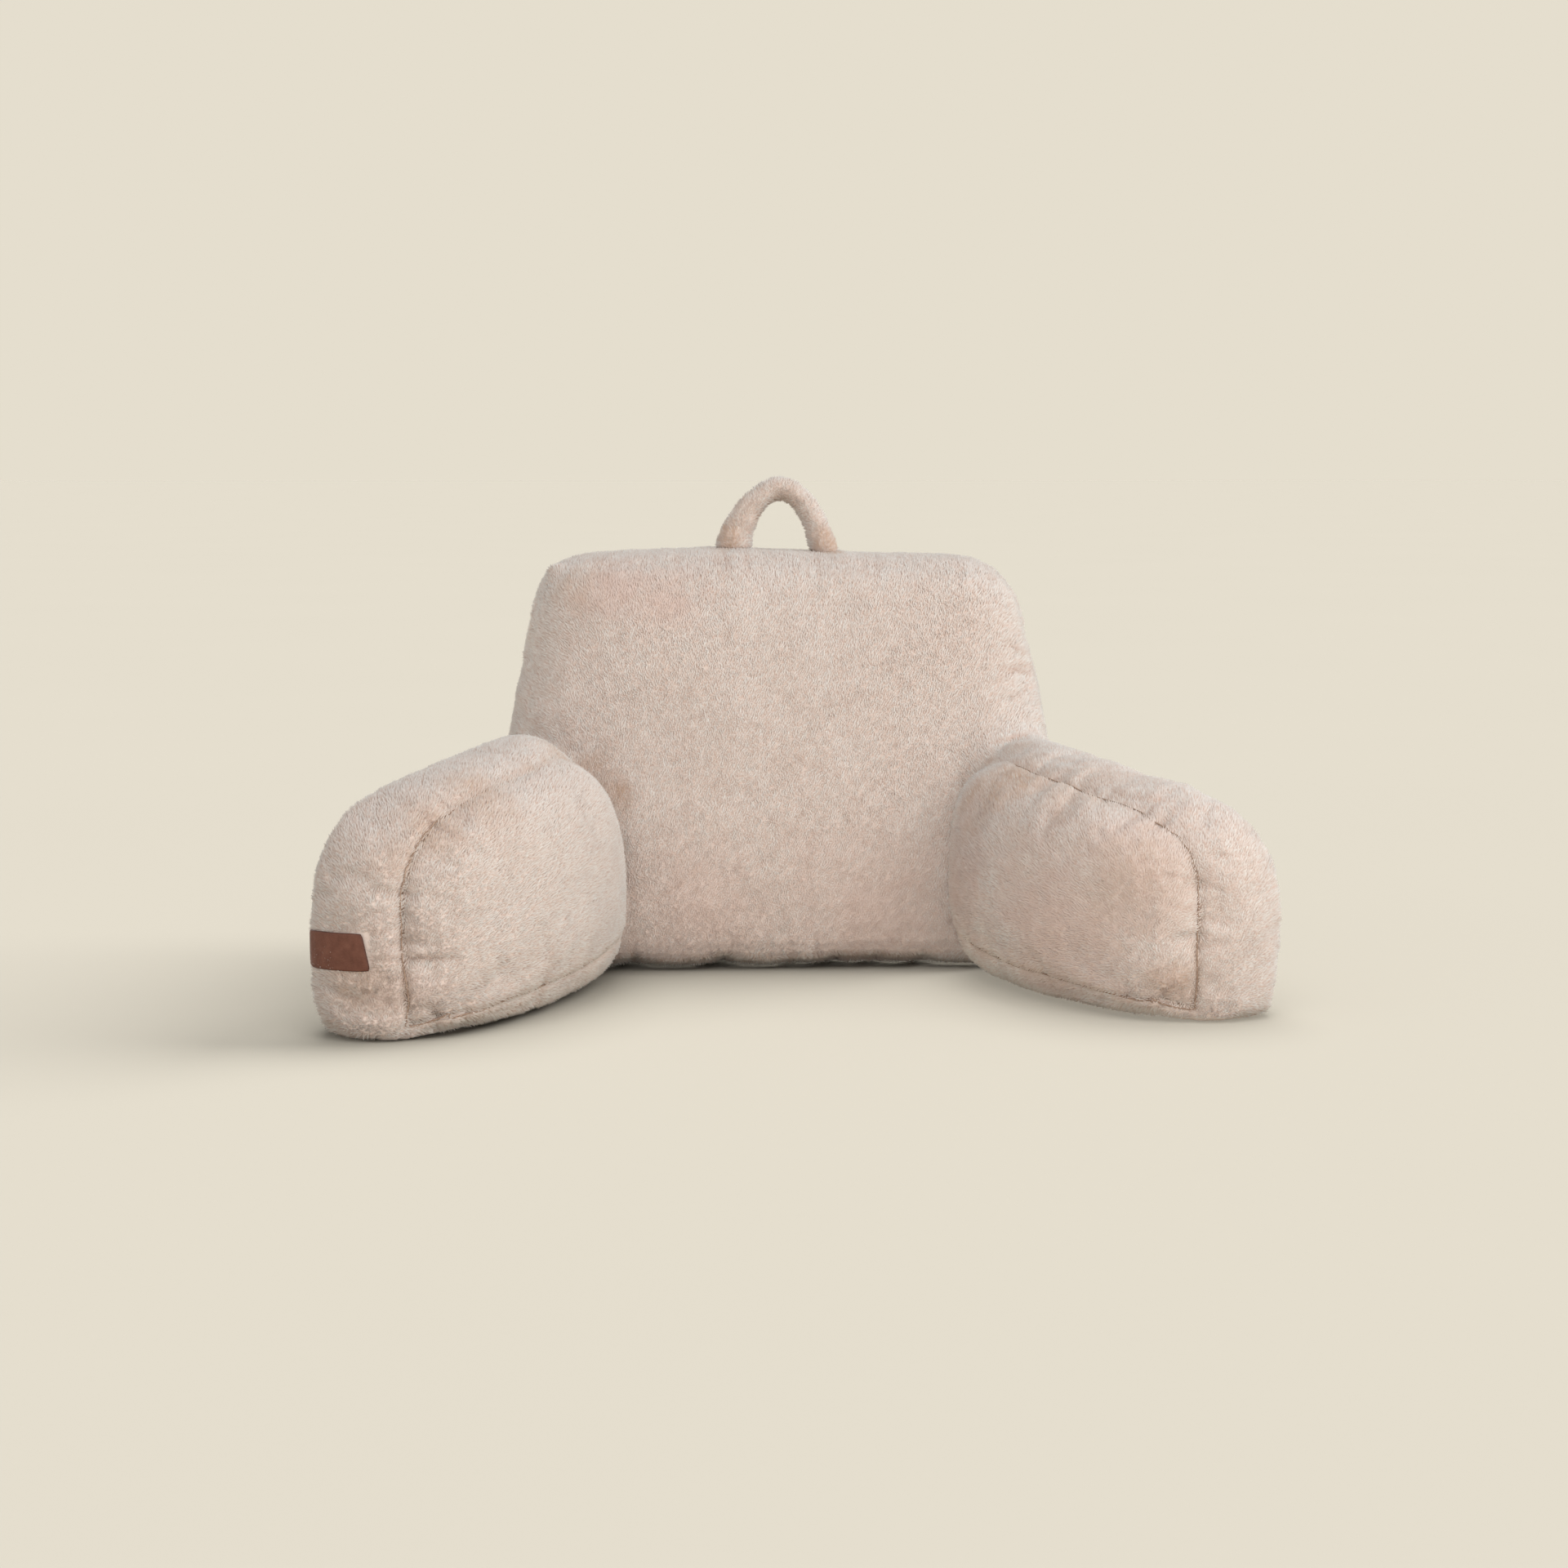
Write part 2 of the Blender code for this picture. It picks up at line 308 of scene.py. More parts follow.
def seam_field(points, seam):
    """For each point near a seam: distance, place along it, how plainly it shows there,
    and the way from the seam to the point."""
    line = seam.line
    best = np.full(len(points), 9.0)
    along = np.zeros(len(points))
    shown = np.zeros(len(points))
    away = np.zeros((len(points), 3))
    chosen = np.nonzero(np.all((points > line.min(0) - 0.05)
                               & (points < line.max(0) + 0.05), axis=1))[0]
    steps = np.roll(line, -1, axis=0) - line
    lengths = np.linalg.norm(steps, axis=1)
    starts = np.concatenate([[0.0], np.cumsum(lengths)[:-1]])
    squares = np.maximum(lengths ** 2, 1e-12)
    tree = point_tree(line)
    j = np.array([tree.find(points[i])[1] for i in chosen], dtype=int)
    part = points[chosen]
    for side in (0, -1):
        k = (j + side) % len(line)
        t = np.clip(((part - line[k]) * steps[k]).sum(1) / squares[k], 0.0, 1.0)
        way = part - line[k] - steps[k] * t[:, None]
        gap = np.linalg.norm(way, axis=1)
        nearer = gap < best[chosen]
        away[chosen] = np.where(nearer[:, None], way, away[chosen])
        along[chosen] = np.where(nearer, starts[k] + lengths[k] * t, along[chosen])
        shown[chosen] = np.where(nearer, seam.shown[k], shown[chosen])
        best[chosen] = np.where(nearer, gap, best[chosen])
    return best, along, shown, unit(away)


# dark: how far the pile parts at a seam, and how much painted shade lines its groove
Seam = namedtuple("Seam", "line shown depth width pucker dark")


def puckers(row, along, gap):
    """Folds that run out from the stitches: from -0.25 on the ridges to about 1 in the
    valleys, and the share of them that is left at this distance."""
    flat = np.zeros(len(along))
    wave = noise(np.stack([along, gap * 0.12, flat + row.depth], 1), 0.0120, 5)
    wave += 0.6 * noise(np.stack([along, gap * 0.25, flat], 1), 0.0065, 9)
    return np.clip(wave - 0.15, 0.0, 1.0) * 1.6 - 0.25, np.exp(-(gap / 0.032) ** 2)


def shown_share(line, node):
    """How plainly a seam shows through the pile along its length."""
    y, z = line.T[1:]
    if node == "back_cushion":
        return np.ones(len(line))
    front = np.clip((-0.215 - y) / 0.03, 0.0, 1.0)
    low = np.clip((0.06 - z) / 0.02, 0.0, 1.0) * np.clip((0.02 - y) / 0.03, 0.0, 1.0)
    top = 0.30 if node == "arm_left" else 0.75
    top = np.full(len(line), top) * np.clip((0.02 - y) / 0.05, 0.15, 1.0)
    return np.maximum(np.maximum(front, low * 0.85), top)


def seam(node, line, depth, width, pucker, dark):
    return Seam(line, shown_share(line, node), depth, width, pucker, dark)


SEAMS = [
    seam("back_cushion", back_seam(-1), 0.0006, 0.006, 0.0008, 0.0),
    seam("back_cushion", back_seam(1), 0.0026, 0.004, 0.0012, 0.6),
]
for arm_name in ARMS:
    SEAMS.append(seam(arm_name, arm_seam(arm_name, -1), 0.0026, 0.0046, 0.0026, 1.0))
    SEAMS.append(seam(arm_name, arm_seam(arm_name, 1), 0.0026, 0.0044, 0.0020, 0.8))


def new_material(name):
    material = bpy.data.materials.new(name)
    material.use_nodes = True
    nodes = material.node_tree.nodes
    return material, nodes, material.node_tree.links, nodes["Principled BSDF"]


def colour_ramp(nodes, stops):
    ramp = nodes.new("ShaderNodeValToRGB")
    while len(ramp.color_ramp.elements) < len(stops):
        ramp.color_ramp.elements.new(0.5)
    for element, (position, colour) in zip(ramp.color_ramp.elements, stops):
        element.position = position
        element.color = (*colour, 1.0)
    return ramp


def named_value(nodes, name):
    node = nodes.new("ShaderNodeAttribute")
    node.attribute_name = name
    return node.outputs["Fac"]


def mix_colours(nodes, links, factor, a, b, kind="MIX"):
    mix = nodes.new("ShaderNodeMix")
    mix.data_type = "RGBA"
    mix.blend_type = kind
    for socket, value in ((mix.inputs[0], factor), (mix.inputs[6], a), (mix.inputs[7], b)):
        if isinstance(value, (int, float)):
            socket.default_value = value
        elif isinstance(value, tuple):
            socket.default_value = (*value, 1.0)
        else:
            links.new(value, socket)
    return mix.outputs[2]


def maths(nodes, links, kind, a, b=0.0, clamp=False):
    node = nodes.new("ShaderNodeMath")
    node.operation = kind
    node.use_clamp = clamp
    for socket, value in ((node.inputs[0], a), (node.inputs[1], b)):
        if isinstance(value, (int, float)):
            socket.default_value = value
        else:
            links.new(value, socket)
    return node.outputs[0]


def noise_node(nodes, links, coords, scale, detail=2.0):
    node = nodes.new("ShaderNodeTexNoise")
    node.inputs["Scale"].default_value = scale
    node.inputs["Detail"].default_value = detail
    links.new(coords, node.inputs["Vector"])
    return node.outputs["Fac"]


def toned(nodes, links, factor, stops):
    ramp = colour_ramp(nodes, stops)
    links.new(factor, ramp.inputs["Fac"])
    return ramp.outputs["Color"]


def plush_material(name, root, tip, rooted):
    """Brushed pile: dark at the roots, pale at the tips, with pink and tan drifts. The dark
    roots and the pink and tan drifts are partly the pile's own colour and partly painted
    shade, and the tips carry painted sheen.
    """
    material, nodes, links, shader = new_material(name)
    coords = nodes.new("ShaderNodeTexCoord").outputs["Object"]
    # drifts of greyer tone at random, which paint the lighter and darker sheen where the
    # pile was brushed another way: painted sheen
    drift = toned(nodes, links, noise_node(nodes, links, coords, 14.0, 3.0),
                  ((0.34, (0.74, 0.69, 0.64)), (0.50, (0.77, 0.745, 0.70)),
                   (0.66, (0.80, 0.785, 0.75))))
    tips = mix_colours(nodes, links, 0.5, drift, tip)
    fleck = noise_node(nodes, links, coords, 420.0, 1.0)
    flecks = toned(nodes, links, fleck, ((0.30, (0.85, 0.73, 0.65)), (0.50, (1.0, 1.0, 1.0)),
                                         (0.70, (1.06, 1.05, 1.02))))
    tips = mix_colours(nodes, links, 0.55, tips, flecks, "MULTIPLY")
    # pink and tan patches, partly painted shade
    tips = mix_colours(nodes, links, named_value(nodes, "pink"), tips, (0.71, 0.49, 0.42))
    tips = mix_colours(nodes, links, named_value(nodes, "tan"), tips, (0.58, 0.39, 0.26))
    if rooted:
        # tufts darken towards their roots: partly their own colour, partly painted shade deep
        # in the pile
        height = named_value(nodes, "tip")
        tint = named_value(nodes, "tint")
        height = maths(nodes, links, "ADD", height, tint, clamp=True)
        colour = mix_colours(nodes, links, height, root, tips)
    else:
        # the ground under the tufts is mostly root colour, partly painted shade deep in the
        # pile
        colour = mix_colours(nodes, links, 0.35, root, tips)
    # painted shade along the seams' grooves, towards a dark brown
    dark = named_value(nodes, "dark")
    colour = mix_colours(nodes, links, dark, colour, (0.24, 0.16, 0.11))
    links.new(colour, shader.inputs["Base Color"])
    rough = maths(nodes, links, "MULTIPLY_ADD", fleck, 0.14)
    rough.node.inputs[2].default_value = 0.80
    links.new(rough, shader.inputs["Roughness"])
    shader.inputs["Specular IOR Level"].default_value = 0.0
    return material


def leather_material():
    material, nodes, links, shader = new_material("leather")
    coords = nodes.new("ShaderNodeTexCoord").outputs["Object"]
    tone = toned(nodes, links, noise_node(nodes, links, coords, 130.0, 5.0),
                 ((0.30, (0.135, 0.046, 0.026)), (0.55, (0.172, 0.062, 0.037)),
                  (0.75, (0.205, 0.080, 0.049))))
    grain = nodes.new("ShaderNodeTexVoronoi")
    grain.feature = "DISTANCE_TO_EDGE"
    grain.inputs["Scale"].default_value = 1300.0
    links.new(coords, grain.inputs["Vector"])
    pores = toned(nodes, links, grain.outputs["Distance"],
                  ((0.0, (0.62, 0.58, 0.55)), (0.16, (1.0, 1.0, 1.0))))
    colour = mix_colours(nodes, links, 0.8, tone, pores, "MULTIPLY")
    worn = named_value(nodes, "worn")
    colour = mix_colours(nodes, links, worn, colour, (0.060, 0.020, 0.012))
    links.new(colour, shader.inputs["Base Color"])
    rough = maths(nodes, links, "MULTIPLY_ADD", grain.outputs["Distance"], -0.5)
    rough.node.inputs[2].default_value = 0.62
    links.new(rough, shader.inputs["Roughness"])
    bump = nodes.new("ShaderNodeBump")
    bump.inputs["Strength"].default_value = 0.35
    bump.inputs["Distance"].default_value = 0.0004
    links.new(grain.outputs["Distance"], bump.inputs["Height"])
    links.new(bump.outputs["Normal"], shader.inputs["Normal"])
    shader.inputs["Specular IOR Level"].default_value = 0.35
    return material


# Root and tip colours of the pile; the darker roots are partly painted shade deep in the pile.
ROOT = (0.65, 0.49, 0.41)
TIP = (0.86, 0.84, 0.80)
SKIN_MATERIAL = plush_material("plush_ground", ROOT, TIP, False)
PILE_MATERIAL = plush_material("plush_pile", ROOT, TIP, True)


# Places along the front where the back's lower edge is drawn up, and how far.
CUSPS = ((-0.150, 0.012), (-0.060, 0.015), (0.012, 0.006), (0.052, 0.012), (0.092, 0.009),
         (0.140, 0.010))

Patch = namedtuple("Patch", "x y z reach amount")
# Patches of tan and pink near these points: partly the pile's own tan and pink, partly
# painted shade, as darker tan in the crease where the left arm meets the back and on the
# right arm's inner side, and pinker on the shaded inner side of the right arm and the low
# front of the back.
TAN_AND_SHADE = [Patch(*row) for row in (
    (-0.192, 0.057, 0.208, 0.024, 0.95), (-0.174, 0.055, 0.180, 0.024, 0.95),
    (-0.212, 0.060, 0.230, 0.020, 0.70), (-0.225, -0.050, 0.220, 0.030, 0.45),
    (-0.210, 0.110, 0.383, 0.028, 0.55), (-0.054, 0.172, 0.424, 0.020, 0.95),
    (0.052, 0.172, 0.418, 0.018, 0.95), (-0.030, 0.185, 0.455, 0.016, 0.40),
    (0.006, 0.185, 0.462, 0.018, 0.35), (-0.290, -0.195, 0.200, 0.042, 0.50),
    (-0.325, -0.240, 0.184, 0.034, 0.50), (-0.352, -0.262, 0.160, 0.022, 0.35),
    (-0.392, -0.275, 0.045, 0.036, 0.50), (0.332, -0.232, 0.036, 0.024, 0.65),
    (0.205, -0.050, 0.190, 0.050, 0.60), (0.262, -0.120, 0.175, 0.060, 0.35),
    (0.225, 0.030, 0.234, 0.018, 0.40), (0.305, -0.210, 0.130, 0.055, 0.45),
)]
PINK_AND_SHADE = [Patch(*row) for row in (
    (-0.160, 0.112, 0.383, 0.040, 0.55), (-0.118, 0.105, 0.366, 0.040, 0.55),
    (-0.250, 0.040, 0.262, 0.026, 0.50), (-0.225, 0.030, 0.245, 0.024, 0.40),
    (-0.090, 0.046, 0.060, 0.075, 0.40), (0.090, 0.046, 0.050, 0.090, 0.42),
    (0.300, -0.215, 0.150, 0.060, 0.28), (0.240, -0.170, 0.080, 0.080, 0.55),
    (0.190, -0.040, 0.100, 0.070, 0.55), (-0.360, -0.285, 0.090, 0.040, 0.25),
    (-0.345, -0.265, 0.045, 0.030, 0.35), (-0.180, 0.040, 0.030, 0.040, 0.35),
)]


def patches(points, table, seed):
    total = np.zeros(len(points))
    rough = noise(points, 0.022, seed) * 0.35 + noise(points, 0.007, seed + 3) * 0.25
    for row in table:
        gap = np.linalg.norm(points - np.array((row.x, row.y, row.z)), axis=1) / row.reach
        total = np.maximum(total, row.amount * np.clip(1.25 - gap + rough, 0.0, 1.0))
    return total


def remeshed(nodes, size):
    """Copies of solids, pushed together and joined into one with even faces."""
    meshes = bmesh.new()
    for node in nodes:
        part = NODES[node].data.copy()
        if node.startswith("arm"):
            # the end that is sewn to the back goes a little into it
            co = coordinates(part)
            for i, spot in enumerate(co):
                _, normal, _, gap = CAD_TREES["back_cushion"].find_nearest(spot)
                if gap < 0.0009:
                    co[i] = spot - np.array(normal[:]) * 0.006
            set_coordinates(part, co)
        meshes.from_mesh(part)
    joined = bpy.data.meshes.new("start")
    meshes.to_mesh(joined)
    meshes.free()
    item = linked("start", joined)
    change = item.modifiers.new("remesh", "REMESH")
    change.mode = "VOXEL"
    change.voxel_size = size
    bpy.context.view_layer.update()
    graph = bpy.context.evaluated_depsgraph_get()
    result = bpy.data.meshes.new_from_object(item.evaluated_get(graph))
    bpy.data.objects.remove(item, do_unlink=True)
    return result


def neighbour_smooth(mesh, values, rounds):
    edges = np.empty(len(mesh.edges) * 2, dtype=np.int32)
    mesh.edges.foreach_get("vertices", edges)
    edges = edges.reshape(-1, 2)
    count = len(mesh.vertices)
    degree = np.bincount(edges.ravel(), minlength=count).astype(float)
    for _ in range(rounds):
        total = np.zeros_like(values)
        for k in range(values.shape[1]):
            total[:, k] = (np.bincount(edges[:, 0], values[edges[:, 1], k], count)
                           + np.bincount(edges[:, 1], values[edges[:, 0], k], count))
        values = values * 0.4 + 0.6 * total / degree[:, None]
    return values


def stuffed(mesh):
    """Blow a cover up from inside as cloth, its seams drawn tight: its rest points and
    how far each moves."""
    item = linked("blown", mesh)
    rest = coordinates(mesh)
    pinned = rest[:, 2] < 0.002
    tight = item.vertex_groups.new(name="tight")
    held = item.vertex_groups.new(name="held")
    share = np.full(len(rest), 0.10)
    for row in SEAMS:
        gap, _, shown, _ = seam_field(rest, row)
        share = np.maximum(share, np.clip(1.3 - gap / 0.009, 0.0, 1.0) * shown)
    for level in range(11):
        chosen = np.nonzero(np.round(share * 10) == level)[0]
        if len(chosen):
            tight.add(chosen.tolist(), level / 10.0, "REPLACE")
    held.add(np.nonzero(pinned)[0].tolist(), 1.0, "REPLACE")
    change = item.modifiers.new("cloth", "CLOTH")
    cloth = change.settings
    cloth.quality = 4
    cloth.mass = 0.25
    cloth.tension_stiffness = 12
    cloth.compression_stiffness = 6
    cloth.shear_stiffness = 4
    cloth.bending_stiffness = 0.15
    cloth.use_pressure = True
    cloth.uniform_pressure_force = PRESSURE
    cloth.effector_weights.gravity = 0.0
    cloth.vertex_group_mass = "held"
    cloth.vertex_group_shrink = "tight"
    cloth.shrink_min = -0.045
    cloth.shrink_max = 0.12
    change.collision_settings.use_self_collision = False
    change.collision_settings.use_collision = False
    change.point_cache.frame_start = 1
    change.point_cache.frame_end = CLOTH_FRAMES
    scene = bpy.context.scene
    for number in range(1, CLOTH_FRAMES + 1):
        scene.frame_set(number)
    graph = bpy.context.evaluated_depsgraph_get()
    moved = coordinates(item.evaluated_get(graph).to_mesh())
    shift = moved - rest
    # the sewn form keeps its size: only the folds and hollows of the cloth stay
    shift = shift - neighbour_smooth(mesh, shift, 60) * 0.92
    size = np.linalg.norm(shift, axis=1, keepdims=True)
    shift *= np.minimum(1.0, LARGEST_SHIFT / np.maximum(size, 1e-9))
    bpy.data.objects.remove(item, do_unlink=True)
    return rest, shift


def carried(points, rest, shift):
    """The shift of a coarse cover at the points of a finer one."""
    tree = point_tree(rest)
    result = np.zeros((len(points), 3))
    for i, spot in enumerate(points):
        near = tree.find_n(spot, 6)
        weights = np.array([1.0 / (found[2] ** 2 + 1e-7) for found in near])
        result[i] = (shift[[found[1] for found in near]] * weights[:, None]).sum(0) \
            / weights.sum()
    return result


# The camera that the photograph was taken with, as fitted to the pillow.
CAMERA = Vector((-0.1664, -2.6594, 0.506))
LENS, SENSOR, PICTURE = 63.75, 36.0, 1920    # mm, mm, pixels
SWING, PITCH = math.radians(-3.5), math.radians(6.7)
LOOK = Vector((-math.sin(SWING) * math.cos(PITCH), math.cos(SWING) * math.cos(PITCH),
               -math.sin(PITCH)))

# Short creases in the plush: both ends in the photograph's pixels, depth in mm.
CREASES = (
    (460, 1063, 492, 1081, 1.0), (452, 1144, 476, 1140, 0.8), (444, 1213, 486, 1236, 1.4),
    (415, 1221, 468, 1232, 1.0), (486, 1097, 529, 1106, 1.2), (488, 1120, 513, 1117, 0.9),
    (484, 1150, 522, 1148, 0.9), (488, 1173, 562, 1175, 1.4), (492, 1201, 537, 1195, 1.0),
    (497, 1063, 525, 1065, 1.1), (525, 1065, 545, 1079, 1.0), (505, 1032, 540, 1040, 0.9),
    (610, 957, 675, 936, 0.8), (1380, 1055, 1434, 1060, 1.0), (1410, 1075, 1463, 1077, 1.2),
    (1420, 1106, 1463, 1114, 1.0), (1430, 1150, 1463, 1154, 0.9), (1366, 972, 1415, 982, 1.2),
    (1395, 974, 1430, 980, 0.9), (1473, 1045, 1532, 1050, 1.1), (1470, 1085, 1510, 1092, 0.9),
    (1466, 1130, 1500, 1126, 0.9), (1440, 1010, 1478, 1022, 1.0), (1290, 930, 1330, 938, 0.9),
    (1215, 912, 1264, 898, 2.2), (1196, 714, 1203, 724, 1.4), (1228, 786, 1262, 806, 1.5),
    (1222, 822, 1264, 826, 1.2), (1232, 858, 1262, 842, 1.2), (1215, 762, 1240, 772, 1.0),
    (1240, 740, 1254, 746, 1.0), (836, 1080, 800, 1110, 0.8), (1290, 900, 1345, 925, 0.8),
)


def creased(points, normals):
    """Depth in mm of the creases at points that face the front."""
    offset = points - np.array(CAMERA[:])
    right = LOOK.cross(Vector((0, 0, 1))).normalized()
    up = right.cross(LOOK)
    depth = offset @ np.array(LOOK[:])
    middle, focus = PICTURE / 2, LENS * PICTURE / SENSOR
    spots = np.stack([middle + focus * (offset @ np.array(right[:])) / depth,
                      middle - focus * (offset @ np.array(up[:])) / depth], axis=1)
    spots += np.stack([noise(points, 0.010, 35), noise(points, 0.010, 36)], axis=1) * 2.5
    facing = np.clip(-(normals * unit(offset)).sum(axis=1) * 3.0, 0.0, 1.0)
    total = np.zeros(len(points))
    for x0, y0, x1, y1, deep in CREASES:
        start, way = np.array((x0, y0)), np.array((x1 - x0, y1 - y0))
        t = np.clip((spots - start) @ way / (way @ way), 0.0, 1.0)
        gap = np.linalg.norm(spots - start - t[:, None] * way, axis=1)
        fade = 0.35 + 0.65 * np.sin(math.pi * np.clip(t, 0.08, 0.92))
        ridge = 0.30 * np.exp(-((gap - 7.5) / 3.5) ** 2)
        total += deep * fade * (np.exp(-(gap / 3.2) ** 2) - ridge)
    return total * facing


def folds_kept(points):
    """The share of the blown-up cover's folds that stays: the back is smooth, the arms and
    the back's sides are less so, and the cover lies flat under the patch."""
    x = points[:, 0]
    share = 0.14 + 0.40 * np.clip((np.abs(x) - 0.18) / 0.05, 0.0, 1.0)
    share = share * np.clip((patch_gap(points) - 0.003) / 0.012, 0.0, 1.0)
    return share[:, None]


Ease = namedtuple("Ease", "x y z reach rounds blunt")
# Places where the sewn parts run into each other in one soft sweep.
EASES = [Ease(*row) for row in (
    (0.242, 0.078, 0.240, 0.072, 200, 0.15), (-0.215, 0.010, 0.225, 0.062, 40, 0.6),
    (0.215, -0.010, 0.215, 0.050, 50, 0.3), (-0.255, 0.070, 0.235, 0.050, 25, 0.6),
    (0.232, -0.070, 0.208, 0.045, 40, 0.1), (0.262, -0.125, 0.200, 0.042, 30, 0.1),
    (0.300, -0.180, 0.182, 0.036, 16, 0.1),
)]


def eased(mesh, size):
    """Smooth the cover where the parts run into each other."""
    co = coordinates(mesh)
    normals = vertex_normals(mesh)
    finer = (0.006 / size) ** 2
    for ease in EASES:
        gap = np.linalg.norm(co - np.array((ease.x, ease.y, ease.z)), axis=1)
        weight = np.clip(1.35 - gap / ease.reach, 0.0, 1.0)[:, None]
        weight = weight * weight * (3 - 2 * weight)
        for _ in range(round(ease.rounds * finer)):
            step = (neighbour_smooth(mesh, co, 1) - co) * weight
            # the hollows fill, what stands out stays
            out = (step * normals).sum(1, keepdims=True)
            co = co + np.where(out > 0, step, step * ease.blunt)
    set_coordinates(mesh, co)


def skin(nodes, name, size, height):
    """The stuffed cover under a pile of this height."""
    mesh = remeshed(nodes, size)
    if len(nodes) > 1:
        eased(mesh, size)
    item = linked(name, mesh)
    rest = coordinates(mesh)
    normals = vertex_normals(mesh)
    sewn = SEAMS if len(nodes) > 1 else []
    moved = rest.copy()
    if sewn:
        coarse = remeshed(nodes, BLOWN_VOXEL)
        eased(coarse, BLOWN_VOXEL)
        moved += carried(rest, *stuffed(coarse)) * folds_kept(rest)
    inset = np.full(len(rest), height * 0.62)
    dark = np.zeros(len(rest))
    for row in sewn:
        gap, along, shown, _ = seam_field(rest, row)
        inset += row.depth * shown * np.exp(-(gap / row.width) ** 2)
        fold, left = puckers(row, along, gap)
        inset += row.pucker * shown * fold * left
        # the ground beside the stitches is darkened: painted shade of the seam's groove
        dark = np.maximum(dark, row.dark * shown * np.exp(-(gap / 0.003) ** 2))
    if sewn:
        inset += 0.0011 * creased(rest, normals)
        # the back's top left corner ends in a small point
        point = np.linalg.norm(rest - np.array((-0.227, 0.159, 0.392)), axis=1)
        inset -= 0.0095 * np.exp(-(point / 0.010) ** 2)
    else:
        inset += 0.0009 * noise(rest, 0.011, 23)
    # soft lumps of the filling
    inset += 0.0010 * noise(rest, 0.050, 21) + 0.0004 * noise(rest, 0.018, 22)
    moved = moved - normals * inset[:, None]
    moved[:, 2] = np.where(rest[:, 2] < 0.0015, 0.0012, np.maximum(moved[:, 2], 0.0012))
    # the edge on the floor is drawn up a little here and there
    ripple = np.clip(noise(rest * np.array((1, 1, 0)), 0.045, 31) * 1.8, 0.0, 1.0)
    low = np.clip(1.0 - rest[:, 2] / 0.012, 0.0, 1.0) * (normals[:, 2] > -0.95)
    moved[:, 2] += low * ripple * 0.004
    if not sewn:
        # the loop's feet sink into the back
        moved[:, 2] -= 0.0026 * np.clip((0.428 - rest[:, 2]) / 0.012, 0.0, 1.0)
    low = np.clip(1.0 - rest[:, 2] / 0.030, 0.0, 1.0) ** 2
    front = np.exp(-(np.maximum(rest[:, 1] - 0.060, 0.0) / 0.040) ** 2) * (rest[:, 1] > 0.0)
    for x, rise in CUSPS:
        lift = np.exp(-np.abs(rest[:, 0] - x) / 0.016)
        moved[:, 2] += low * front * lift * rise
    set_coordinates(mesh, moved)
    smooth_faces(mesh)
    # tan and pink on the ground as well, partly painted shade
    float_layer(mesh, "tan", patches(moved, TAN_AND_SHADE, 41) * 0.5)
    float_layer(mesh, "pink", patches(moved, PINK_AND_SHADE, 51) * 0.5)
    float_layer(mesh, "dark", dark)
    mesh.materials.append(SKIN_MATERIAL)
    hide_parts(*nodes)
    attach(item, "root")
    return item


def tuft_spots(mesh, spacing_of, rng):
    """Even places over the faces, with the cover's normal at each."""
    count = len(mesh.polygons)
    corners = np.zeros((count, 4), dtype=np.int64)
    loops = np.empty(len(mesh.loops), dtype=np.int64)
    mesh.loops.foreach_get("vertex_index", loops)
    starts = np.empty(count, dtype=np.int64)
    totals = np.empty(count, dtype=np.int64)
    mesh.polygons.foreach_get("loop_start", starts)
    mesh.polygons.foreach_get("loop_total", totals)
    for k in range(4):
        corners[:, k] = loops[starts + np.minimum(k, totals - 1)]
    co = coordinates(mesh)
    normals = vertex_normals(mesh)
    area = np.empty(count)
    mesh.polygons.foreach_get("area", area)
    middle = co[corners].mean(axis=1)
    want = area / spacing_of(middle) ** 2
    number = np.floor(want + rng.random(count)).astype(int)
    face = np.repeat(np.arange(count), number)
    order = np.arange(len(face)) - np.repeat(np.cumsum(number) - number, number)
    shift = rng.random((count, 2))
    u = (shift[face, 0] + order * 0.7548776662) % 1.0
    v = (shift[face, 1] + order * 0.5698402910) % 1.0
    weights = np.stack([(1 - u) * (1 - v), u * (1 - v), u * v, (1 - u) * v], axis=1)
    base = (co[corners[face]] * weights[:, :, None]).sum(axis=1)
    normal = unit((normals[corners[face]] * weights[:, :, None]).sum(axis=1))
    return base, normal


def nap(points, normals):
    """The way that the brushed pile lies: up the front, over the top and down the rear."""
    rear = np.clip((normals[:, 1] + 0.15) / 0.5, 0.0, 1.0)
    lie = np.stack([np.full(len(points), 0.08), np.ones(len(points)), 0.9 - 1.8 * rear],
                   axis=1)
    lie = lie + vector_noise(points, 0.085, 61) * 0.40 + vector_noise(points, 0.024, 71) * 0.22
    lie = lie + vector_noise(points, 0.006, 81) * 0.30
    lie = lie - normals * (lie * normals).sum(axis=1, keepdims=True)
    return unit(lie)


def patch_gap(points):
    """Distance from each point to the leather patch, sideways along the cover."""
    low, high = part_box("label")
    middle = np.array(((low + high) / 2)[:])
    gaps = np.full(len(points), 9.0)
    for i in np.nonzero(np.linalg.norm(points - middle, axis=1) < 0.05)[0]:
        spot = CAD_TREES["label"].find_nearest(points[i])[0]
        way = points[i] - np.array(spot[:])
        out = points[i] - np.array((-0.35, -0.10, points[i][2]))
        out = out / np.linalg.norm(out)
        gaps[i] = np.linalg.norm(way - out * way.dot(out))
    return gaps


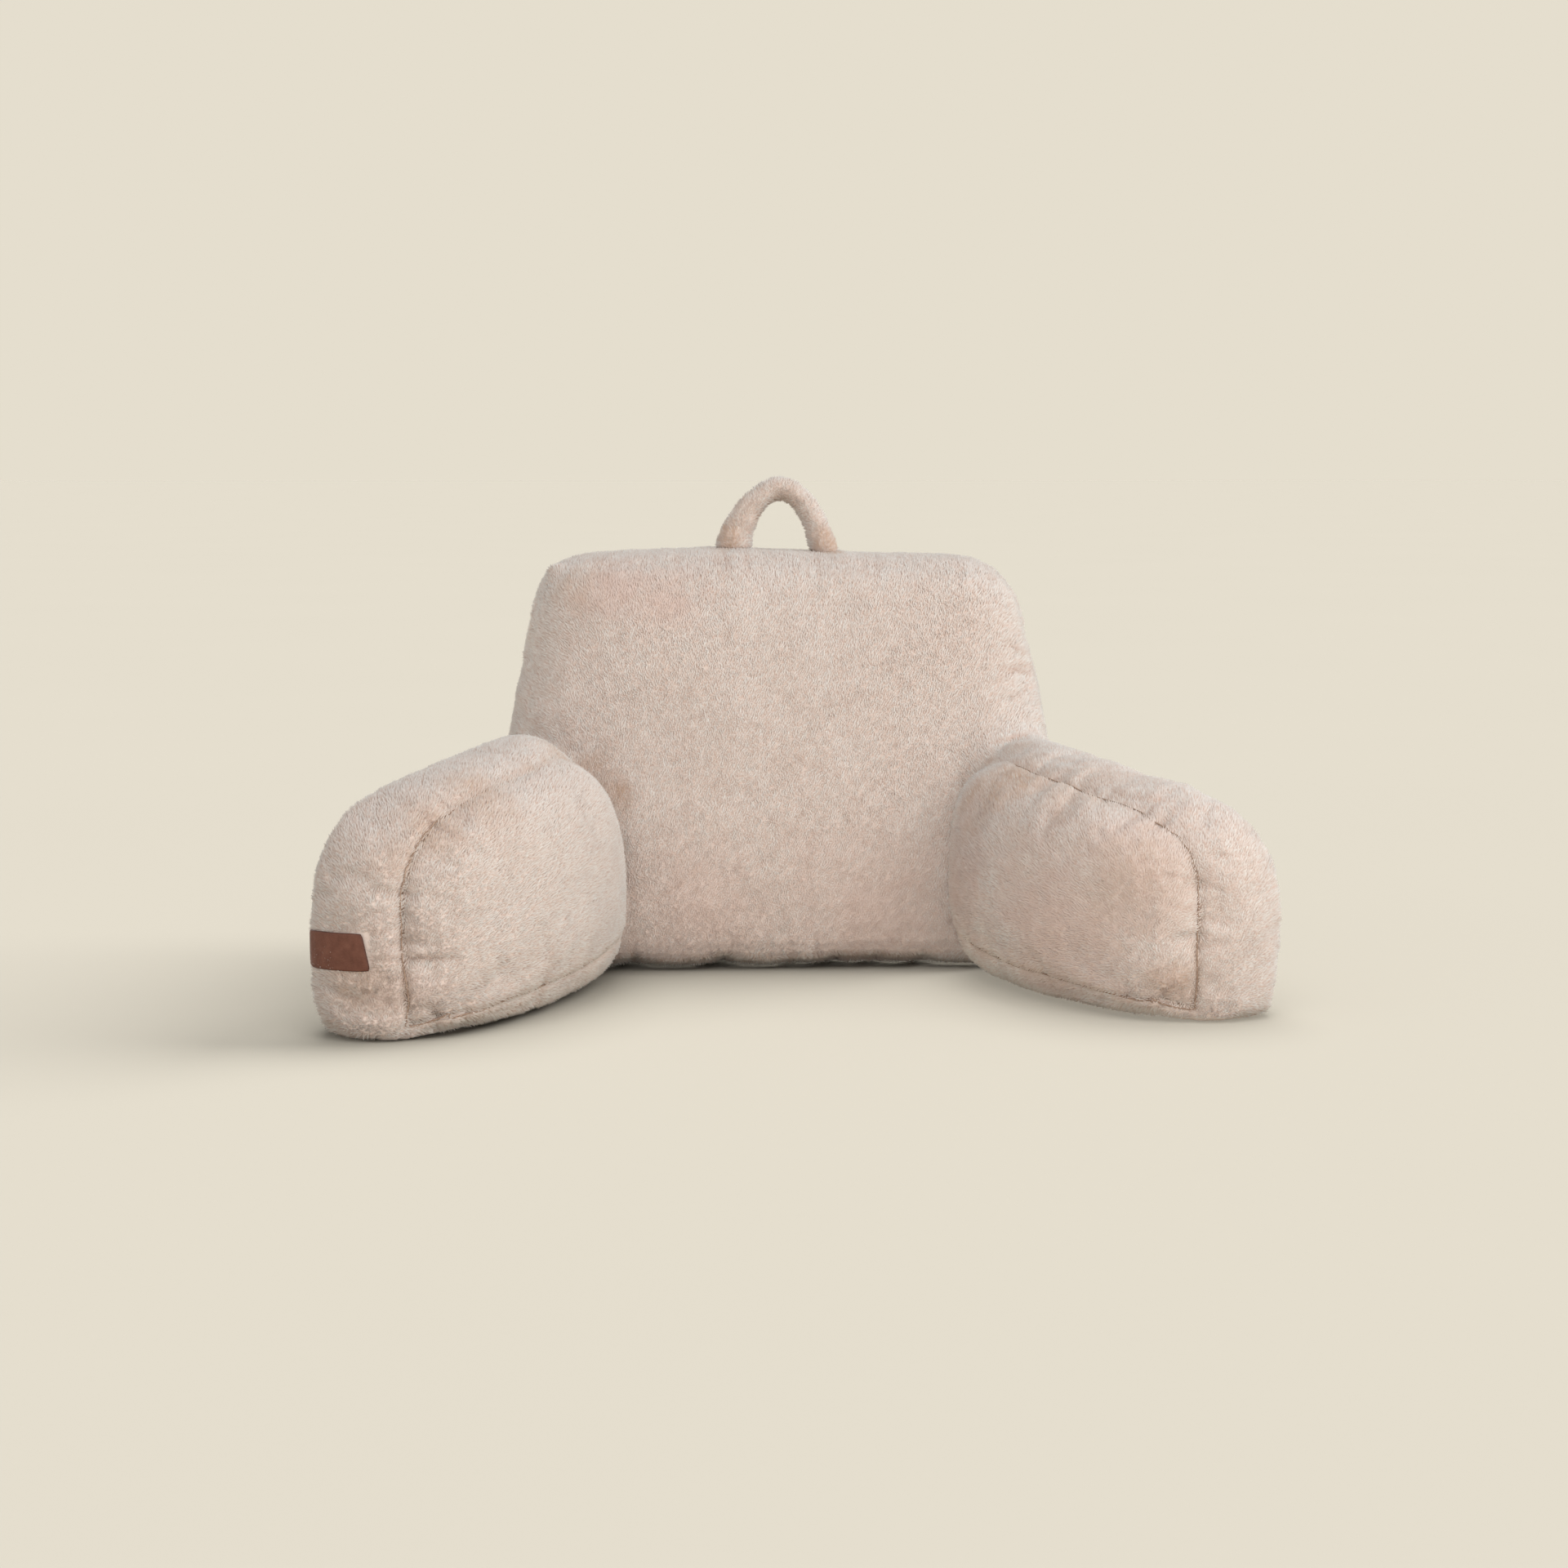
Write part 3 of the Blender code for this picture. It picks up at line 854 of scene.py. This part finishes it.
def pile(cover, spacing_of, height, share_out):
    """Tufts of pile that stand on a cover, as pieces of under 200,000 triangles."""
    rng = np.random.default_rng(sum(map(ord, cover.name)))
    base, normal = tuft_spots(cover.data, spacing_of, rng)
    keep = ~((base[:, 2] < 0.004) & (normal[:, 2] < -0.8))
    sewn = SEAMS if cover.name == "pillow_cover" else []
    fields = [(row,) + seam_field(base, row) for row in sewn]
    for row, gap, along, shown, away in fields:
        keep &= gap > 0.0012 * shown * row.dark
    if sewn:
        keep &= patch_gap(base) > 0.0004
    base, normal = base[keep], normal[keep]
    fields = [[row] + [value[keep] for value in rest] for row, *rest in fields]
    count = len(base)
    lie = nap(base, normal)
    for row, gap, along, shown, away in fields:
        lie += away * (2.2 * shown * row.dark * np.exp(-(gap / 0.0040) ** 2))[:, None]
    lie = unit(lie - normal * (lie * normal).sum(axis=1, keepdims=True))
    side = np.cross(normal, lie)
    lean = np.radians(LEAN + 5 * noise(base, 0.03, 91) + rng.normal(0, 6, count))
    long = height / np.cos(np.radians(LEAN)) * rng.uniform(0.82, 1.12, count)
    width = np.full(count, TUFT_WIDTH) * rng.uniform(0.85, 1.15, count)
    dark, sewn_in = np.zeros(count), np.zeros(count)
    fold_shade = creased(base, normal) if sewn else np.zeros(count)
    for row, gap, along, shown, away in fields:
        near = np.exp(-(gap / 0.0040) ** 2)
        long *= 1.0 - 0.50 * near * np.minimum(1.0, shown * row.dark * 1.2)
        # tufts beside the stitches are darkened: painted shade of the seam's groove
        dark = np.maximum(dark, 0.45 * row.dark * shown * np.exp(-(gap / 0.0020) ** 2))
        fold, left = puckers(row, along, gap)
        fold_shade += shown * fold * left
        sewn_in = np.maximum(sewn_in, row.dark * np.exp(-(gap / 0.0060) ** 2))
    axis = unit(normal * np.cos(lean)[:, None] + lie * np.sin(lean)[:, None]
                + vector_noise(base, 0.0045, 95) * (0.26 if sewn else 0.40)
                + rng.normal(0, 0.09, (count, 3)))
    low = (base[:, 2] < 0.006) & (axis[:, 2] < 0)
    axis[:, 2] = np.where(low, axis[:, 2] * 0.15, axis[:, 2])
    long *= np.where(axis[:, 2] < 0, np.clip(base[:, 2] / 0.004, 0.15, 1.0), 1.0)
    tips = base + axis * long[:, None]
    tips[:, 2] = np.maximum(tips[:, 2], 0.0006)
    foot = base - normal * 0.0004
    verts = np.empty((count, 4, 3))
    verts[:, 0] = foot + side * width[:, None] * 0.52 - lie * width[:, None] * 0.32
    verts[:, 1] = foot - side * width[:, None] * 0.52 - lie * width[:, None] * 0.32
    verts[:, 2] = foot + lie * width[:, None] * 0.55
    verts[:, 3] = tips
    verts[:, :3, 2] = np.maximum(verts[:, :3, 2], 0.0004)
    # tufts in the creases and puckers take more of the root colour: painted shade in the folds
    tint = rng.normal(0.0, 0.10, count) + 0.11 * noise(base, 0.0045, 97) - 0.17 * fold_shade
    # shading normals stay near the cover's, so that the pile looks soft
    outward = np.empty_like(verts)
    outward[:, 0] = normal * 0.85 + side * 0.35 - lie * 0.20
    outward[:, 1] = normal * 0.85 - side * 0.35 - lie * 0.20
    outward[:, 2] = normal * 0.85 + lie * 0.35
    outward[:, 3] = normal * 0.90 + axis * 0.30
    outward = unit(outward.reshape(-1, 3)).reshape(-1, 4, 3)
    # tan shows tuft by tuft, pink as a soft drift; both are partly painted shade, and the tan
    # along the seams is painted shade of their grooves
    tan = np.maximum(patches(base, TAN_AND_SHADE, 41), 0.34 * sewn_in * (1.0 + noise(base, 0.012, 43)))
    tan = np.clip(tan * rng.uniform(0.35, 1.65, count), 0.0, 0.95)
    values = {"tint": tint, "tan": tan, "pink": patches(base, PINK_AND_SHADE, 51), "dark": dark}
    for name, chosen in share_out(base):
        tuft_piece(name, verts[chosen], outward[chosen],
                   {key: value[chosen] for key, value in values.items()})


def pillow_shares(base):
    """Each arm's tufts, and the back's from front to rear in three pieces."""
    gaps = np.full((len(base), 3), 9.0)
    for k, node in enumerate(("back_cushion", "arm_left", "arm_right")):
        tree = CAD_TREES[node]
        low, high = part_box(node)
        near = np.all((base > np.array(low[:]) - 0.02) & (base < np.array(high[:]) + 0.02),
                      axis=1)
        for i in np.nonzero(near)[0]:
            gaps[i, k] = tree.find_nearest(base[i])[3]
    owners = gaps.argmin(axis=1)
    back = np.nonzero(owners == 0)[0]
    order = back[np.argsort(base[back, 1] - 0.17 * base[back, 2] / 0.41)]
    thirds = np.array_split(order, 3)
    return [("back_pile_front", thirds[0]), ("back_pile_middle", thirds[1]),
            ("back_pile_rear", thirds[2]), ("arm_left_pile", np.nonzero(owners == 1)[0]),
            ("arm_right_pile", np.nonzero(owners == 2)[0])]


def handle_shares(base):
    return [("handle_pile", np.arange(len(base)))]


def tuft_piece(name, verts, outward, values):
    """One mesh of three-sided tufts, each with a cell of its own in the map."""
    count = len(verts)
    mesh = bpy.data.meshes.new(name)
    first = np.arange(count)[:, None] * 4
    faces = (first[:, :, None] + np.array(((0, 1, 3), (1, 2, 3), (2, 0, 3)))[None]
             ).reshape(-1, 3)
    mesh.vertices.add(count * 4)
    mesh.loops.add(count * 9)
    mesh.polygons.add(count * 3)
    mesh.vertices.foreach_set("co", verts.astype(np.float32).ravel())
    mesh.loops.foreach_set("vertex_index", faces.astype(np.int32).ravel())
    mesh.polygons.foreach_set("loop_start", np.arange(0, count * 9, 3, dtype=np.int32))
    mesh.polygons.foreach_set("use_smooth", np.ones(count * 3, dtype=bool))
    mesh.update()
    rows = int(math.ceil(math.sqrt(count)))
    corner = np.stack([np.arange(count) % rows, np.arange(count) // rows], 1) / rows
    spots = np.array(((0.06, 0.06), (0.94, 0.06), (0.5, 0.94), (0.5, 0.38)))
    places = corner[:, None, :] + spots[None] / rows
    layer = mesh.uv_layers.new(name="OFBake")
    layer.data.foreach_set("uv", places.reshape(-1, 2)[faces.ravel()]
                           .astype(np.float32).ravel())
    float_layer(mesh, "tip", np.tile((0.0, 0.0, 0.05, 0.92), count))
    for key, value in values.items():
        float_layer(mesh, key, np.repeat(value, 4))
    mesh.normals_split_custom_set_from_vertices(outward.reshape(-1, 3).tolist())
    mesh.materials.append(PILE_MATERIAL)
    item = linked(name, mesh)
    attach(item, "root")


def pillow_spacing(middle):
    """Closer tufts on what the front shows, wider ones at the rear."""
    rear = np.clip((middle[:, 1] - 0.20) / 0.03, 0.0, 1.0)
    return SPACING + (REAR_SPACING - SPACING) * rear


def handle_spacing(middle):
    return np.full(len(middle), SPACING * 0.85)


def seam_shade_tubes(cover, name):
    """The dark line that shows in the drawn-in seams, painted shade of their grooves: a thin
    tube that sinks between the tufts where the seam shows less."""
    tree = tree_of(cover.data)
    bm = bmesh.new()
    for row in SEAMS:
        if row.dark < 0.9:
            continue
        line = row.line
        count = len(line)
        rings = []
        for i in range(count):
            spot, normal, _, _ = tree.find_nearest(Vector(line[i]))
            way = Vector(line[(i + 1) % count]) - Vector(line[i - 1])
            side = way.cross(normal).normalized()
            lift = -0.0014 + 0.0029 * min(1.0, row.shown[i] * 1.15)
            rings.append((spot + normal * lift, side, normal))
        # even out the steps of the surface
        centres = np.array([ring[0][:] for ring in rings])
        for _ in range(6):
            centres = (np.roll(centres, 1, axis=0) + centres * 2
                       + np.roll(centres, -1, axis=0)) / 4
        loops = []
        for centre, (_, side, normal) in zip(centres, rings):
            loop = []
            for k in range(6):
                turn = math.tau * k / 6
                loop.append(bm.verts.new(Vector(centre) + side * (math.cos(turn) * 0.00075)
                                         + normal * (math.sin(turn) * 0.0007)))
            loops.append(loop)
        for i in range(count):
            for k in range(6):
                bm.faces.new((loops[i][k], loops[i][(k + 1) % 6],
                              loops[(i + 1) % count][(k + 1) % 6], loops[(i + 1) % count][k]))
    bmesh.ops.recalc_face_normals(bm, faces=bm.faces)
    mesh = bpy.data.meshes.new(name)
    bm.to_mesh(mesh)
    bm.free()
    smooth_faces(mesh)
    material, nodes, links, shader = new_material("seam_thread")
    coords = nodes.new("ShaderNodeTexCoord").outputs["Object"]
    # dark browns that paint the shade in the seams' grooves
    tone = toned(nodes, links, noise_node(nodes, links, coords, 260.0),
                 ((0.35, (0.26, 0.170, 0.120)), (0.65, (0.40, 0.285, 0.215))))
    links.new(tone, shader.inputs["Base Color"])
    shader.inputs["Roughness"].default_value = 0.9
    shader.inputs["Specular IOR Level"].default_value = 0.1
    mesh.materials.append(material)
    item = linked(name, mesh)
    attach(item, "root")


def leather_patch():
    """A thin patch with rounded corners, laid where the solid one lies."""
    arm = ARMS["arm_left"]
    along, across, root = arm_axes(arm)
    hub = root + along * 0.25 + MOVE
    tree = CAD_TREES["label"]
    columns, rows = 46, 36
    bm = bmesh.new()
    grid = []
    for j in range(rows + 1):
        line = []
        for i in range(columns + 1):
            u, v = i / columns * 2 - 1, j / rows * 2 - 1
            # corners rounded by pulling the square towards a squircle
            bend = 0.075
            x = u * math.sqrt(max(0.0, 1 - bend * v ** 8))
            y = v * math.sqrt(max(0.0, 1 - bend * u ** 8))
            x *= 0.965
            y *= 0.985
            # the right edge slants, and the left one stops at the arm's side
            x = x * (0.95 - 0.05 * y) + 0.03 - 0.05 * y * (x > 0) * x
            turn = -0.08 + x * 0.022 / 0.105
            out = along * math.cos(turn) - across * math.sin(turn)
            level = Vector((0.0, 0.0, 0.081 + y * 0.017))
            spot, normal, _, _ = tree.ray_cast(hub + level + out * 0.4, -out)
            if spot is None:
                spot, normal, _, _ = tree.find_nearest(hub + level + out * 0.155)
            if normal.dot(out) < 0:
                normal = -normal
            edge = max(abs(u), abs(v))
            drop = 0.0012 + 0.0008 * max(0.0, (edge - 0.90) / 0.10) ** 2
            line.append((spot, normal, drop, edge))
        grid.append(line)
    worn = []
    outer, inner = [], []
    for line in grid:
        outer.append([bm.verts.new(s - n * d) for s, n, d, _ in line])
        worn += [max(0.0, (e - 0.94) / 0.06) for _, _, _, e in line]
    for line in grid:
        inner.append([bm.verts.new(s - n * (d + 0.0012)) for s, n, d, _ in line])
        worn += [1.0 if e > 0.94 else 0.3 for _, _, _, e in line]
    for j in range(rows):
        for i in range(columns):
            bm.faces.new((outer[j][i], outer[j][i + 1], outer[j + 1][i + 1], outer[j + 1][i]))
            bm.faces.new((inner[j][i], inner[j + 1][i], inner[j + 1][i + 1], inner[j][i + 1]))
    rim = [(0, i) for i in range(columns)] + [(j, columns) for j in range(rows)] \
        + [(rows, i) for i in range(columns, 0, -1)] + [(j, 0) for j in range(rows, 0, -1)]
    for k, (j, i) in enumerate(rim):
        jj, ii = rim[(k + 1) % len(rim)]
        bm.faces.new((outer[j][i], inner[j][i], inner[jj][ii], outer[jj][ii]))
    bmesh.ops.recalc_face_normals(bm, faces=bm.faces)
    mesh = bpy.data.meshes.new("leather_patch")
    bm.to_mesh(mesh)
    bm.free()
    smooth_faces(mesh)
    float_layer(mesh, "worn", np.array(worn) * 0.7)
    mesh.materials.append(leather_material())
    item = linked("leather_patch", mesh)
    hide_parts("label")
    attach(item, "root")


BACKDROP = (0.783, 0.730, 0.617)
AMBIENT = 0.70
FRONT_SHARE = 0.35       # how much brighter the room is in front than behind


def studio(lamps):
    """A pale floor as light as the backdrop, under the same grey light all round."""
    mesh = bpy.data.meshes.new("floor")
    bm = bmesh.new()
    bmesh.ops.create_grid(bm, x_segments=8, y_segments=8, size=60.0)
    bm.to_mesh(mesh)
    bm.free()
    item = linked("floor", mesh)
    lit = AMBIENT + sum(-lamp.way.normalized().z * lamp.strength for lamp in lamps) / math.pi
    base = [c / lit for c in BACKDROP]
    material, nodes, links, shader = new_material("pale_floor")
    coords = nodes.new("ShaderNodeTexCoord").outputs["Object"]
    tone = toned(nodes, links, noise_node(nodes, links, coords, 1.2, 1.0),
                 ((0.3, tuple(c * 0.997 for c in base)), (0.7, tuple(c * 1.003 for c in base))))
    links.new(tone, shader.inputs["Base Color"])
    shader.inputs["Roughness"].default_value = 1.0
    shader.inputs["Specular IOR Level"].default_value = 0.0
    mesh.materials.append(material)
    world = bpy.data.worlds.new("studio")
    world.use_nodes = True
    nodes, links = world.node_tree.nodes, world.node_tree.links
    seen = nodes.new("ShaderNodeLightPath").outputs["Is Camera Ray"]
    parts = nodes.new("ShaderNodeSeparateXYZ")
    links.new(nodes.new("ShaderNodeTexCoord").outputs["Generated"], parts.inputs[0])
    level = maths(nodes, links, "MULTIPLY_ADD", parts.outputs["Y"], -FRONT_SHARE * AMBIENT)
    level.node.inputs[2].default_value = AMBIENT
    grey = nodes.new("ShaderNodeCombineColor")
    for k in range(3):
        links.new(level, grey.inputs[k])
    tone = mix_colours(nodes, links, seen, grey.outputs[0], BACKDROP)
    links.new(tone, nodes["Background"].inputs["Color"])
    bpy.context.scene.world = world
    bpy.context.scene.view_settings.view_transform = "Standard"
    return item


# Suns: the way they shine, strength, angle in degrees, and the pieces that throw their
# shadow (all of them where none is named). The right arm throws no shadow of the first
# ones, so that the floor between the arms and the back beside it stay bright.
Lamp = namedtuple("Lamp", "name way strength angle casts")
BACK_PILES = ("back_pile_front", "back_pile_middle", "back_pile_rear")
CASTING = ("arm_left_pile", *BACK_PILES, "handle_pile", "handle_cover")
FLOOR_LAMPS = (
    Lamp("floor_side", Vector((-0.80, -0.30, -0.62)), 5.4, 46,
         ("arm_left_pile", *BACK_PILES)),
    Lamp("floor_rear", Vector((-0.05, -0.36, -0.93)), 2.4, 42, ()),
    Lamp("floor_front", Vector((0.05, 0.50, -0.85)), 2.0, 50, ()),
)
PILLOW_LAMPS = (
    Lamp("key", Vector((-0.62, 0.58, -0.55)), 0.84, 50, CASTING),
    Lamp("side", Vector((-0.95, 0.00, -0.25)), 0.34, 40, CASTING),
    Lamp("fill", Vector((0.45, 0.80, -0.30)), 0.10, 80, ()),
    Lamp("rear", Vector((0.10, -0.95, -0.22)), 1.9, 80, ()),
)
Softbox = namedtuple("Softbox", "name place aim power width")
SIDE_BOX = Softbox("softbox", Vector((1.00, -0.85, 0.85)), Vector((0.18, 0.12, 0.28)),
                   3.2, 0.7)
LOW_BOX = Softbox("low_card", Vector((-0.20, -1.10, 0.14)), Vector((0.20, 0.00, 0.08)),
                  2.2, 0.6)


def sun(lamp, group):
    """A sun that lights one group of pieces only."""
    light = bpy.data.lights.new(lamp.name, "SUN")
    light.energy = lamp.strength
    light.angle = math.radians(lamp.angle)
    item = add_light(light, lamp.way.normalized() * -4.0, lamp.way, group)
    if lamp.casts:
        casting = bpy.data.collections.new(lamp.name + "_casting")
        for name in lamp.casts:
            casting.objects.link(bpy.data.objects[name])
        item.light_linking.blocker_collection = casting


def add_light(light, place, way, group):
    item = linked(light.name, light)
    item.rotation_mode = "QUATERNION"
    item.rotation_quaternion = way.to_track_quat("-Z", "Y")
    item.location = place
    item.light_linking.receiver_collection = group
    return item


def softbox(row, group):
    light = bpy.data.lights.new(row.name, "AREA")
    light.energy = row.power
    light.size = row.width
    add_light(light, row.place, row.aim - row.place, group)


camera = linked("camera", bpy.data.cameras.new("camera"))
camera.data.lens = LENS
camera.data.sensor_width = SENSOR
camera.data.clip_end = 200.0
camera.location = CAMERA
camera.rotation_mode = "QUATERNION"
camera.rotation_quaternion = LOOK.to_track_quat("-Z", "Y")
bpy.context.scene.camera = camera


pillow = skin(("back_cushion", "arm_left", "arm_right"), "pillow_cover", COVER_VOXEL, PILE)
pile(pillow, pillow_spacing, PILE, pillow_shares)
loop = skin(("handle",), "handle_cover", LOOP_VOXEL, LOOP_PILE)
pile(loop, handle_spacing, LOOP_PILE, handle_shares)
leather_patch()
seam_shade_tubes(pillow, "seam_lines")

floor = studio(FLOOR_LAMPS)
stage = bpy.data.collections.new("stage")
stage.objects.link(floor)
dressed = bpy.data.collections.new("dressed")
for item in bpy.context.scene.objects:
    if item.type == "MESH" and item is not floor:
        dressed.objects.link(item)
for lamp in FLOOR_LAMPS:
    sun(lamp, stage)
for lamp in PILLOW_LAMPS:
    sun(lamp, dressed)
softbox(SIDE_BOX, dressed)
# the low one fills the shade between the arms, and leaves out the left arm
filled = bpy.data.collections.new("filled")
for item in dressed.objects:
    if not item.name.startswith(("arm_left", "leather")):
        filled.objects.link(item)
softbox(LOW_BOX, filled)
